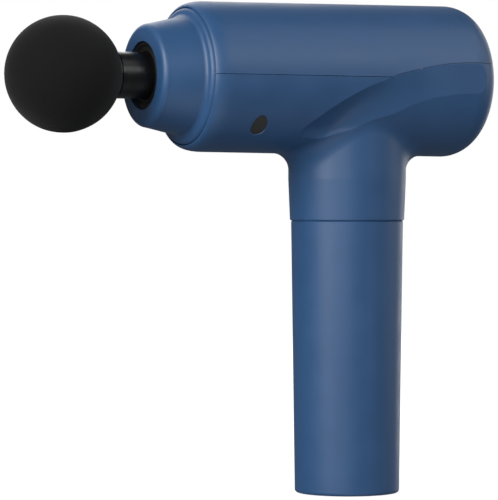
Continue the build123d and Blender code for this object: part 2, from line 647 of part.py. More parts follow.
# ---- Plunger, its black sleeve, and the wrist pin ----
with BuildPart() as plunger:
    revolve(outline([(PLUNGER_MOUTH_X, SOCKET_R), (PLUNGER_MOUTH_X, SLEEVE_BORE_R),
                     (SLEEVE_END_X, SLEEVE_BORE_R), (SLEEVE_END_X, PLUNGER_R), (PLUNGER_END_X, PLUNGER_R),
                     (PLUNGER_END_X, 0), (SOCKET_END_X, 0), (SOCKET_END_X, SOCKET_R)]), axis=BARREL_AXIS)
    with BuildSketch(across(PLUNGER_END_X)):
        Rectangle(2 * CLEVIS_HALF_Y, 2 * CLEVIS_HALF_Z)
    extrude(amount=CLEVIS_END_X - PLUNGER_END_X)
    with BuildSketch(across(WRIST_X - 11)):
        Rectangle(2 * CLEVIS_HALF_Y, 2 * ROD_HALF_Z + 0.8)
    extrude(amount=20, mode=Mode.SUBTRACT)
    with BuildSketch(level(-CLEVIS_HALF_Z)):
        with Locations((WRIST_X, 0)):
            Circle(WRIST_PIN_R)
    extrude(amount=2 * CLEVIS_HALF_Z, mode=Mode.SUBTRACT)
save("plunger", plunger.part)

with BuildPart() as plunger_sleeve:
    add(tube(SLEEVE_BORE_R, PLUNGER_R, PLUNGER_MOUTH_X, SLEEVE_END_X, across(0)))
    chamfer(plunger_sleeve.edges().group_by(Axis.X)[0], 0.3)
save("plunger_sleeve", plunger_sleeve.part)
save("wrist_pin", Pos(WRIST_X, 0, BARREL_Z) * tube(0, WRIST_PIN_R, -CLEVIS_HALF_Z, CLEVIS_HALF_Z, Plane.XY))

# ---- Connecting rod with its bush, bearing and crank pin ----
rod_angle = degrees(atan2(CRANK_R, CRANK_X - WRIST_X))
rod_middle = ((WRIST_X + CRANK_X) / 2, CRANK_R / 2)
with BuildPart() as connecting_rod:
    with BuildSketch(level(-ROD_HALF_Z)):
        with Locations((WRIST_X, 0)):
            Circle(SMALL_END_R)
        with Locations((CRANK_X, CRANK_R)):
            Circle(BIG_END_R)
        with Locations(rod_middle):
            Rectangle(ROD_LENGTH, 8, rotation=rod_angle)
        with Locations((WRIST_X, 0)):
            Circle(BUSH_R, mode=Mode.SUBTRACT)
        with Locations((CRANK_X, CRANK_R)):
            Circle(BIG_BEARING_R, mode=Mode.SUBTRACT)
    extrude(amount=2 * ROD_HALF_Z)
    for low in (-ROD_HALF_Z, ROD_HALF_Z - 2):
        with BuildSketch(level(low)):
            with Locations(rod_middle):
                SlotOverall(14, 4, rotation=rod_angle)
        extrude(amount=2, mode=Mode.SUBTRACT)
save("connecting_rod", connecting_rod.part)
save("small_end_bush", Pos(WRIST_X, 0, BARREL_Z) * tube(WRIST_PIN_R + RUNNING, BUSH_R, -ROD_HALF_Z, ROD_HALF_Z,
                                                        Plane.XY))
save("big_end_bearing", Pos(CRANK_X, CRANK_R, BARREL_Z) * tube(CRANK_PIN_R, BIG_BEARING_R, -2.5, 2.5,
                                                               Plane.XY))
save("crank_pin", Pos(CRANK_X, CRANK_R, BARREL_Z) * tube(0, CRANK_PIN_R, -ROD_HALF_Z, ROD_HALF_Z, Plane.XY))

# ---- Crank disc and counterweight ----
with BuildPart() as crank_disc:
    with BuildSketch(level(DISC_BOTTOM)):
        with Locations((CRANK_X, 0)):
            Circle(DISC_R)
            Circle(SHAFT_R, mode=Mode.SUBTRACT)
        with Locations((CRANK_X, CRANK_R)):
            Circle(1.6, mode=Mode.SUBTRACT)
    extrude(amount=DISC_TOP - DISC_BOTTOM)
save("crank_disc", crank_disc.part)

with BuildPart() as counterweight:
    with BuildSketch(level(DISC_BOTTOM)):
        with Locations((CRANK_X, 0)):
            Circle(COUNTERWEIGHT_R)
            Circle(DISC_R, mode=Mode.SUBTRACT)
        with Locations((CRANK_X, COUNTERWEIGHT_R)):
            Rectangle(3 * COUNTERWEIGHT_R, 2 * COUNTERWEIGHT_R + 3, mode=Mode.SUBTRACT)
    extrude(amount=DISC_TOP - DISC_BOTTOM)
save("counterweight", counterweight.part)

# ---- Flat motor whose outer bell turns ----
MOTOR = Plane.XY.move(Pos(CRANK_X, 0, BARREL_Z))
save("motor_shaft", tube(0, SHAFT_R, BELL_BOTTOM, DISC_TOP, MOTOR))
with BuildPart() as shaft_bearings:
    for low in (BOSS_BOTTOM, PLATE_TOP - BEARING_THICK):
        add(tube(SHAFT_R + 0.03, BEARING_R, low, low + BEARING_THICK, MOTOR))
save("shaft_bearings", shaft_bearings.part)

with BuildPart() as motor_stator:
    with BuildSketch(MOTOR.offset(STATOR_BOTTOM)):
        Circle(11.4)
        with PolarLocations(13.5, TOOTH_COUNT):
            Rectangle(5.4, TOOTH_WIDTH)
        with BuildSketch(mode=Mode.ADD):
            Circle(17.0)
            Circle(15.6, mode=Mode.SUBTRACT)
            with PolarLocations(16.3, TOOTH_COUNT, start_angle=180 / TOOTH_COUNT):
                Rectangle(3, 1.6, mode=Mode.SUBTRACT)
        Circle(BOSS_R, mode=Mode.SUBTRACT)
    extrude(amount=STATOR_TOP - STATOR_BOTTOM)
save("motor_stator", motor_stator.part)

with BuildPart() as motor_windings:
    with BuildSketch(MOTOR.offset(STATOR_BOTTOM - 1)):
        with PolarLocations(13.5, TOOTH_COUNT):
            RectangleRounded(3.6, TOOTH_WIDTH + 3.2, 0.8)
    extrude(amount=STATOR_TOP - STATOR_BOTTOM + 2)
    with BuildSketch(MOTOR.offset(STATOR_BOTTOM)):
        with PolarLocations(13.5, TOOTH_COUNT):
            Rectangle(4.0, TOOTH_WIDTH)
    extrude(amount=STATOR_TOP - STATOR_BOTTOM, mode=Mode.SUBTRACT)
save("motor_windings", motor_windings.part)
save("terminal_board", tube(BOSS_R, 15.5, TERMINAL_TOP - 0.8, TERMINAL_TOP, MOTOR))

with BuildPart() as rotor_bell:
    add(tube(BELL_BORE_R, BELL_R, BELL_BOTTOM, BELL_TOP, MOTOR))
    with BuildSketch(MOTOR.offset(BELL_BOTTOM)):
        Circle(BELL_R)
        Circle(SHAFT_R, mode=Mode.SUBTRACT)
        with PolarLocations(12, 6):
            Circle(2.6, mode=Mode.SUBTRACT)
    extrude(amount=BELL_FLOOR - BELL_BOTTOM)
save("rotor_bell", rotor_bell.part)

with BuildPart() as rotor_magnets:
    magnet_count = 12
    with BuildSketch(MOTOR.offset(STATOR_BOTTOM - 0.5)):
        Circle(BELL_BORE_R)
        Circle(BELL_BORE_R - 1.7, mode=Mode.SUBTRACT)
        with PolarLocations(BELL_BORE_R - 1, magnet_count):
            Rectangle(4, 1.2, mode=Mode.SUBTRACT)
    extrude(amount=STATOR_TOP - STATOR_BOTTOM + 1)
save("rotor_magnets", rotor_magnets.part)

# ---- Control board under the top cover ----
board_top = BOARD_BOTTOM + BOARD_THICK
with BuildPart() as control_board:
    with BuildSketch(level(BOARD_BOTTOM)):
        with Locations((sum(BOARD_X) / 2, 0)):
            RectangleRounded(BOARD_X[1] - BOARD_X[0], BOARD_WIDTH, 3)
        with Locations(*BOARD_POSTS):
            Circle(1.3, mode=Mode.SUBTRACT)
    extrude(amount=BOARD_THICK)
save("control_board", control_board.part)
save("board_screws", screws(BOARD_POSTS, 2.2, BARREL_Z + BOARD_BOTTOM - 1.5, BARREL_Z + BOARD_BOTTOM, 1.1,
                            BARREL_Z + 21))

with BuildPart() as board_transistors:
    with BuildSketch(level(board_top)):
        with GridLocations(9, 9, 3, 2):
            Rectangle(6, 5)
    extrude(amount=2.2)
save("board_transistors", board_transistors.part)

with BuildPart() as board_capacitor:
    capacitor_r = 5.0
    with BuildSketch(Plane(origin=(-20, 13, BARREL_Z + board_top + capacitor_r), x_dir=(0, 1, 0),
                           z_dir=(1, 0, 0))):
        Circle(capacitor_r)
    extrude(amount=16)
save("board_capacitor", board_capacitor.part)

# ---- Touch display at the rear end ----
with BuildPart() as display_bezel:
    revolve(outline([(BEZEL_FLOOR_X, 12.5), (BEZEL_FLOOR_X, BEZEL_R), (BEZEL_X - 0.5, BEZEL_R),
                     (BEZEL_X, BEZEL_R - 0.6), (BEZEL_X, GLASS_R + 0.5), (BEZEL_X - 0.5, GLASS_R),
                     (63.4, GLASS_R), (63.4, 18.9), (59.2, 18.9), (59.2, 12.5)]), axis=BARREL_AXIS)
    with BuildSketch(across(59.2)):
        with PolarLocations(DISPLAY_SCREW_R, 4, start_angle=45):
            Circle(1.5)
    extrude(amount=1.8)
    with BuildSketch(across(59.2)):
        with PolarLocations(DISPLAY_SCREW_R, 4):
            Circle(1.0)
    extrude(amount=-1.5, mode=Mode.SUBTRACT)
save("display_bezel", display_bezel.part)
save("display_glass", tube(0, GLASS_R, 63.4, GLASS_X, across(0)))
save("display_board", tube(0, 18.7, 61.0, 62.2, across(0)))

with BuildPart() as digit_modules:
    with BuildSketch(across(62.2)):
        with Locations((-7.6, 8.8), (7.6, 8.8)):
            Rectangle(10.5, 7.5)
    extrude(amount=1.2)
save("digit_modules", digit_modules.part)

with BuildPart() as touch_pads:
    with BuildSketch(across(62.2)):
        with Locations((-7.5, -9.84), (7.5, -9.84)):
            Circle(3.0)
    extrude(amount=1.2)
save("touch_pads", touch_pads.part)

with BuildPart() as bezel_screws:
    with BuildSketch(across(59.2)):
        with PolarLocations(DISPLAY_SCREW_R, 4):
            Circle(1.8)
    extrude(amount=1.5)
    with BuildSketch(across(59.2)):
        with PolarLocations(DISPLAY_SCREW_R, 4):
            Circle(1.0)
    extrude(amount=-4.2)
save("bezel_screws", bezel_screws.part)

# ---- Leads, all held inside ----
LEAD_D = 1.4
wire_x, wire_y = 1.5, WIRE_GAP[1]
with BuildPart() as charge_leads:
    for side in (-1, 1):
        x = side * wire_x
        add(lead([(x, SOCKET_Y - 1, 13), (x, SOCKET_Y - 1, 15.2), (x, wire_y, 23), (x, wire_y, 60)], LEAD_D))
        add(lead([(x, wire_y, 60), (x, wire_y, 108)], LEAD_D))
        add(lead([(x, wire_y, 108), (x, wire_y, PROTECTION_Z)], LEAD_D))
save("charge_leads", charge_leads.part)

with BuildPart() as battery_leads:
    for x in (-12.0, -15.0):
        add(lead([(x, -12.0, PROTECTION_Z + 1.6), (x, -12.0, 166), (x - 0.5, -17.0, 181), (x, -18.0, 198),
                  (x, -18.0, BARREL_Z + BOARD_BOTTOM)], 1.8))
save("battery_leads", battery_leads.part)

with BuildPart() as motor_leads:
    wire_r = 0.6
    wire_z = BARREL_Z + TERMINAL_TOP + wire_r
    for x in (CRANK_X - 1.8, CRANK_X, CRANK_X + 1.8):
        add(lead([(x, -12.5, wire_z), (x, -26.0, wire_z), (x, -26.5, BARREL_Z - 1), (x, -19.0, BARREL_Z + 8),
                  (x, -19.0, BARREL_Z + BOARD_BOTTOM)], 2 * wire_r))
save("motor_leads", motor_leads.part)

with BuildPart() as display_lead:
    board_edge_z = BARREL_Z + BOARD_BOTTOM + BOARD_THICK / 2
    add(lead([(61.0, 5, BARREL_Z + 9), (50.0, 5, BARREL_Z + 9), (42.5, 5, board_edge_z),
              (BOARD_X[1], 5, board_edge_z)], BOARD_THICK))
save("display_lead", display_lead.part)

# ---- Massage head: foam ball on a plastic stem with two O-rings ----
collar_x = PLUNGER_MOUTH_X - 0.3
core_outline = [(-124.6, 7.5), (-134, 7.5), (-134, 10.5), (-137, 10.5), (-137, 7.5), (-145, 7.5),
                (-145, 10.5), (-148, 10.5), (-148, 7.5), (-154, 7.5), (-154, 0)]
with BuildPart() as head_stem:
    revolve(outline([(STEM_END_X, 0), (STEM_END_X, STEM_R - 0.8), (STEM_END_X - 0.8, STEM_R),
                     (collar_x, STEM_R), (collar_x, PLUNGER_R), (-124.6, PLUNGER_R)] + core_outline),
            axis=BARREL_AXIS)
    for x in RING_XS:
        add(tube(RING_MIDDLE_R - RING_WIRE_R, STEM_R + 1, x - RING_WIRE_R, x + RING_WIRE_R, across(0)),
            mode=Mode.SUBTRACT)
save("head_stem", head_stem.part)

with BuildPart() as stem_rings:
    for x in RING_XS:
        with Locations(Pos(x, 0, BARREL_Z) * Rot(0, 90, 0)):
            Torus(RING_MIDDLE_R, RING_WIRE_R)
save("stem_rings", stem_rings.part)

with BuildPart() as massage_ball:
    with Locations((BALL_X, 0, BARREL_Z)):
        Sphere(BALL_R)
    add(tube(0, BALL_R, BALL_FLAT_X, BALL_X + BALL_R + 1, across(0)), mode=Mode.SUBTRACT)
    revolve(outline([(BALL_FLAT_X + 1, 0), (BALL_FLAT_X + 1, PLUNGER_R), (-124.6, PLUNGER_R)]
                    + core_outline), axis=BARREL_AXIS, mode=Mode.SUBTRACT)
save("massage_ball", massage_ball.part)
print(len(PIECES), "pieces")
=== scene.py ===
"""Looks for the massage gun: foam ball, display graphics, materials, studio light and camera.
Metres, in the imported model's own frame."""
import json
from math import atan2, cos, pi, radians, sin, sqrt, tan

import bmesh
import bpy
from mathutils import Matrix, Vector, noise


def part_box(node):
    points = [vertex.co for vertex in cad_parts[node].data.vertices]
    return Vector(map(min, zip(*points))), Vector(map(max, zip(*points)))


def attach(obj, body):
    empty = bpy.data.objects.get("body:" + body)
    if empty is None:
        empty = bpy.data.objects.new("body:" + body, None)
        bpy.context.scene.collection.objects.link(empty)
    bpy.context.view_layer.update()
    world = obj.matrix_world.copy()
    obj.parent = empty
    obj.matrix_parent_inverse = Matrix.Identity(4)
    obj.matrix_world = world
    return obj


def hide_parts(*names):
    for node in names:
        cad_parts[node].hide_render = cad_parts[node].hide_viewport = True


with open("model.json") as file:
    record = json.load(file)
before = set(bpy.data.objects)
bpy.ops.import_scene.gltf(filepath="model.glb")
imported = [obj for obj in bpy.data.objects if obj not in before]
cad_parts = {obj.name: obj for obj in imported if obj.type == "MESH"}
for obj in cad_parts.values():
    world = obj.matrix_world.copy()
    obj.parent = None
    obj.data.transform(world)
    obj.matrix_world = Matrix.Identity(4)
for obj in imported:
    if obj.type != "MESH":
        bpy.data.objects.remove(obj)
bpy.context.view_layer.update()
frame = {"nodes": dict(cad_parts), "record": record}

MM = 0.001
NODES = frame["nodes"]
SLOT_OF = {part["node"]: part["material_slot"] for part in frame["record"]["subparts"]}

# Camera: level with the handle's ring seam, seen from the nose's side
VIEW_TURN = radians(29.3)  # from straight across the barrel, towards the nose
VIEW_DISTANCE = 1.449
EYE_HEIGHT = 0.1401
AIM_LEFT, AIM_DOWN = radians(1.846), radians(0.98)
LENS, SENSOR = 218.9, 36.0

LIGHT_TARGET = Vector((-0.03, 0, 0.15))  # the middle of the gun
LIGHT_DISTANCE = 1.5
WHITE = (1, 1, 1, 1)
AMBIENT_COLOUR = (0.93, 0.96, 1, 1)
AMBIENT = 0.135
STUDIO_LIGHTS = {  # turn and rise in degrees, size, watts
    "key": (71, 20, (0.7, 0.9), 23.5),
    "front": (35, 15, (0.5, 0.8), 6.2),
    "right": (-25, 27, (0.6, 0.6), 3.9),
    "right_high": (-60, 45, (0.9, 0.9), 3.6),
    "right_low": (-75, 12, (0.5, 1.0), 2.8),
    "rim": (-118, 7, (0.5, 1.0), 3.6),
    "under": (10, -52, (1.2, 1.2), 4.0),
    "back": (-170, 30, (1.0, 1.0), 8.0),
}

FLOOR_RADIUS = 9.0
FLOOR_DROP = 0.0002  # below the gun's foot
FLOOR_TONE = (0.42, 0.42, 0.42, 1)
FLOOR_GLOW = (0.78, 1.0)  # near the gun and far from it
FLOOR_GLOW_REACH = (0.15, 1.3)  # distances where the glow starts and ends its rise

# Finishes
WEAR_RADIUS = 0.45 * MM
WEAR_LIGHTER = 2.6
WEAR_GLOSS = -0.12  # added to the roughness of a fully worn edge
BUMP_STRENGTH = 0.6
COAT_ROUGH, SHEEN_ROUGH = 0.08, 0.5

# Display graphics, as films on the glass
GRAPHIC_THICK = 0.04 * MM
GRAPHIC_GAP = 0.01 * MM
WINDOW_Y, WINDOW_RISE = 7.6 * MM, 8.8 * MM
WINDOW_SIZE, WINDOW_CORNER = (10.9 * MM, 7.7 * MM), 0.5 * MM
FIGURE_SHIFT = 2.45 * MM
FIGURE_SIZE = (2.35 * MM, 5.4 * MM)
FIGURE_STROKE, FIGURE_GAP, FIGURE_SLANT = 0.31 * MM, 0.16 * MM, tan(radians(11))
BUTTON_Y, BUTTON_DROP = 7.5 * MM, 9.84 * MM
BUTTON_OUTER_R, BUTTON_INNER_R = 3.3 * MM, 2.62 * MM
SIGN_LENGTH, SIGN_THICK, SIGN_CORNER = 3.0 * MM, 0.72 * MM, 0.15 * MM
SIGN_ARM, SIGN_ARM_SHIFT = 1.1 * MM, 0.95 * MM
ICON_Y, ICON_RISE = 7.6 * MM, 2.05 * MM


# ---------------------------------------------------------------- camera, light and floor
def make_camera():
    """Camera at the viewing angle, aimed without shift."""
    heading = VIEW_TURN - AIM_LEFT
    aim = Vector((sin(heading) * cos(AIM_DOWN), cos(heading) * cos(AIM_DOWN), -sin(AIM_DOWN)))
    data = bpy.data.cameras.new("camera")
    data.lens = LENS
    data.sensor_width = SENSOR
    camera = bpy.data.objects.new("camera", data)
    camera.location = (-VIEW_DISTANCE * sin(VIEW_TURN), -VIEW_DISTANCE * cos(VIEW_TURN), EYE_HEIGHT)
    camera.rotation_euler = aim.to_track_quat("-Z", "Y").to_euler()
    bpy.context.scene.collection.objects.link(camera)
    bpy.context.scene.camera = camera


def area_light(name, turn, rise, size, watts):
    """Soft light on the gun: turn is from straight across towards the nose, rise is from level."""
    data = bpy.data.lights.new(name, "AREA")
    data.shape = "RECTANGLE"
    data.size, data.size_y = size
    data.energy = watts
    light = bpy.data.objects.new(name, data)
    towards = Vector((-sin(turn) * cos(rise), -cos(turn) * cos(rise), sin(rise)))
    light.location = LIGHT_TARGET + towards * LIGHT_DISTANCE
    light.rotation_euler = (-towards).to_track_quat("-Z", "Y").to_euler()
    bpy.context.scene.collection.objects.link(light)


def make_world():
    """White surroundings as the camera sees them, and a dim even light on the gun."""
    world = bpy.data.worlds.new("studio")
    bpy.context.scene.world = world
    world.use_nodes = True
    nodes, links = world.node_tree.nodes, world.node_tree.links
    seen, ambient = nodes["Background"], nodes.new("ShaderNodeBackground")
    seen.inputs["Color"].default_value = WHITE
    seen.inputs["Strength"].default_value = 1.0
    ambient.inputs["Color"].default_value = AMBIENT_COLOUR
    ambient.inputs["Strength"].default_value = AMBIENT
    path, mix = nodes.new("ShaderNodeLightPath"), nodes.new("ShaderNodeMixShader")
    links.new(path.outputs["Is Camera Ray"], mix.inputs[0])
    links.new(ambient.outputs[0], mix.inputs[1])
    links.new(seen.outputs[0], mix.inputs[2])
    links.new(mix.outputs[0], nodes["World Output"].inputs["Surface"])


def make_floor():
    """Wide pale disc whose glow rises outwards to white, so that no horizon shows."""
    mesh = bpy.data.meshes.new("floor")
    form = bmesh.new()
    bmesh.ops.create_circle(form, cap_ends=True, segments=96, radius=FLOOR_RADIUS)
    form.to_mesh(mesh)
    form.free()
    floor = bpy.data.objects.new("floor", mesh)
    floor.location.z = -FLOOR_DROP
    bpy.context.scene.collection.objects.link(floor)
    pale = bpy.data.materials.new("pale_floor")
    pale.use_nodes = True
    nodes, links = pale.node_tree.nodes, pale.node_tree.links
    shader = nodes["Principled BSDF"]
    shader.inputs["Base Color"].default_value = FLOOR_TONE
    shader.inputs["Roughness"].default_value = 0.9
    shader.inputs["Specular IOR Level"].default_value = 0.1
    shader.inputs["Emission Color"].default_value = WHITE
    place, reach = nodes.new("ShaderNodeTexCoord"), nodes.new("ShaderNodeVectorMath")
    reach.operation = "LENGTH"
    links.new(place.outputs["Object"], reach.inputs[0])
    links.new(spread(nodes, links, reach.outputs["Value"], *FLOOR_GLOW, *FLOOR_GLOW_REACH),
              shader.inputs["Emission Strength"])
    floor.visible_diffuse = floor.visible_glossy = floor.visible_shadow = False
    mesh.materials.append(pale)


def make_lights():
    """The soft lights round the gun."""
    for name, (turn, rise, size, watts) in STUDIO_LIGHTS.items():
        area_light(name, radians(turn), radians(rise), size, watts)


# ---------------------------------------------------------------- materials
def shade(colour, factor):
    """A colour made darker or lighter."""
    return tuple(min(part * factor, 1.0) for part in colour[:3]) + (1.0,)


def noise_node(nodes, links, source, scale, detail=2.0, rough=0.5):
    """Noise texture on the piece's own coordinates."""
    node = nodes.new("ShaderNodeTexNoise")
    node.inputs["Scale"].default_value = scale
    node.inputs["Detail"].default_value = detail
    node.inputs["Roughness"].default_value = rough
    links.new(source, node.inputs["Vector"])
    return node.outputs["Fac"]


def spread(nodes, links, value, low, high, from_low=0.3, from_high=0.7):
    """A value mapped from one range onto another; the first is by default the middle of a noise's."""
    node = nodes.new("ShaderNodeMapRange")
    node.inputs["From Min"].default_value = from_low
    node.inputs["From Max"].default_value = from_high
    node.inputs["To Min"].default_value = low
    node.inputs["To Max"].default_value = high
    links.new(value, node.inputs["Value"])
    return node.outputs["Result"]


def mixed(nodes, links, factor, first, second):
    """Colour between two colours, each a colour or another node's output."""
    node = nodes.new("ShaderNodeMix")
    node.data_type = "RGBA"
    links.new(factor, node.inputs["Factor"])
    for socket, value in (("A", first), ("B", second)):
        target = [s for s in node.inputs if s.name == socket and s.type == "RGBA"][0]
        if isinstance(value, tuple):
            target.default_value = value
        else:
            links.new(value, target)
    return [s for s in node.outputs if s.type == "RGBA"][0]


def edge_mask(nodes, links, radius):
    """1 on worn edges and 0 on flat ground."""
    bevel = nodes.new("ShaderNodeBevel")
    bevel.samples = 4
    bevel.inputs["Radius"].default_value = radius
    ground = nodes.new("ShaderNodeNewGeometry")
    dot = nodes.new("ShaderNodeVectorMath")
    dot.operation = "DOT_PRODUCT"
    links.new(bevel.outputs["Normal"], dot.inputs[0])
    links.new(ground.outputs["Normal"], dot.inputs[1])
    return spread(nodes, links, dot.outputs["Value"], 1.0, 0.0, 0.75, 0.985)


def surface(name, colour, rough, metallic=0.0, mottle=0.08, patch=9 * MM, grain=0.35 * MM,
            depth=0.02 * MM, swing=0.06, stretch=(1, 1, 1), wear=0.0, specular=0.5, coat=0.0,
            pattern=None, sheen=0.0):
    """Procedural finish: soft patches of colour, fine grain with bump, uneven gloss and worn edges."""
    material = bpy.data.materials.new(name)
    material.use_nodes = True
    nodes, links = material.node_tree.nodes, material.node_tree.links
    shader = nodes["Principled BSDF"]
    shader.inputs["Metallic"].default_value = metallic
    shader.inputs["Specular IOR Level"].default_value = specular
    shader.inputs["Coat Weight"].default_value = coat
    shader.inputs["Coat Roughness"].default_value = COAT_ROUGH
    shader.inputs["Sheen Weight"].default_value = sheen
    shader.inputs["Sheen Roughness"].default_value = SHEEN_ROUGH

    place, mapping = nodes.new("ShaderNodeTexCoord"), nodes.new("ShaderNodeMapping")
    mapping.inputs["Scale"].default_value = stretch
    links.new(place.outputs["Object"], mapping.inputs["Vector"])
    source = mapping.outputs["Vector"]
    patches = noise_node(nodes, links, source, 1 / patch, 3.0)
    fine = noise_node(nodes, links, source, 1 / grain, 2.0, 0.6)

    tone = mixed(nodes, links, spread(nodes, links, patches, 0.0, 1.0),
                 shade(colour, 1 - mottle), shade(colour, 1 + mottle))
    tone = mixed(nodes, links, spread(nodes, links, fine, 0.0, 0.35), tone, shade(colour, 1 - 2 * mottle))
    gloss = spread(nodes, links, patches, rough - swing, rough + swing)
    height = fine
    if pattern:
        tone, height = pattern(nodes, links, source, tone, fine)
    if wear:
        edge = edge_mask(nodes, links, WEAR_RADIUS)
        worn = nodes.new("ShaderNodeMath")
        worn.operation = "MULTIPLY"
        links.new(edge, worn.inputs[0])
        links.new(spread(nodes, links, patches, 0.25 * wear, wear), worn.inputs[1])
        tone = mixed(nodes, links, worn.outputs[0], tone, shade(colour, WEAR_LIGHTER))
        lower = nodes.new("ShaderNodeMath")
        lower.operation = "MULTIPLY_ADD"
        lower.inputs[1].default_value = WEAR_GLOSS
        links.new(worn.outputs[0], lower.inputs[0])
        links.new(gloss, lower.inputs[2])
        gloss = lower.outputs[0]
    links.new(tone, shader.inputs["Base Color"])
    links.new(gloss, shader.inputs["Roughness"])
    bump = nodes.new("ShaderNodeBump")
    bump.inputs["Strength"].default_value = BUMP_STRENGTH
    bump.inputs["Distance"].default_value = depth
    links.new(height, bump.inputs["Height"])
    links.new(bump.outputs["Normal"], shader.inputs["Normal"])
    return material


def layered(scale, dark, axis="Z"):
    """Pattern of fine even lines across an axis, as in stacked sheets or wound wire."""
    def pattern(nodes, links, source, tone, fine):
        wave = nodes.new("ShaderNodeTexWave")
        wave.bands_direction = axis
        wave.inputs["Scale"].default_value = scale
        wave.inputs["Distortion"].default_value = 0.4
        links.new(source, wave.inputs["Vector"])
        line = wave.outputs["Fac"]
        return mixed(nodes, links, spread(nodes, links, line, 0.0, 1.0, 0.0, 0.5), dark, tone), line
    return pattern


def printed_board(nodes, links, source, tone, fine):
    """Pattern of tracks under green solder mask, with bare round pads between them."""
    track_spacing, pad_spacing = 3.2 * MM, 2.1 * MM
    track_green, bare_pad = (0.035, 0.22, 0.1, 1), (0.55, 0.5, 0.36, 1)
    cells = nodes.new("ShaderNodeTexVoronoi")
    cells.distance = "MANHATTAN"
    cells.feature = "F2"
    cells.inputs["Scale"].default_value = 1 / track_spacing
    links.new(source, cells.inputs["Vector"])
    track = spread(nodes, links, cells.outputs["Distance"], 0.0, 1.0, 0.78, 0.84)
    bare = nodes.new("ShaderNodeTexVoronoi")
    bare.inputs["Scale"].default_value = 1 / pad_spacing
    links.new(source, bare.inputs["Vector"])
    pad = spread(nodes, links, bare.outputs["Distance"], 1.0, 0.0, 0.16, 0.2)
    green = mixed(nodes, links, track, tone, track_green)
    return mixed(nodes, links, pad, green, bare_pad), track


def pitted_with_painted_shade(nodes, links, source, tone, fine):
    """Pattern of a closed-cell foam skin: tiny shallow pits, each made a little darker by painted shade in
    the hollow.
    """
    pit_spacing, pit_painted_shade = 0.55 * MM, (0.006, 0.006, 0.006, 1)
    cells = nodes.new("ShaderNodeTexVoronoi")
    cells.inputs["Scale"].default_value = 1 / pit_spacing
    links.new(source, cells.inputs["Vector"])
    pit = spread(nodes, links, cells.outputs["Distance"], 0.0, 1.0, 0.05, 0.5)
    # the darker tone at the pit centres is painted shade in the recesses
    return mixed(nodes, links, pit, pit_painted_shade, tone), pit


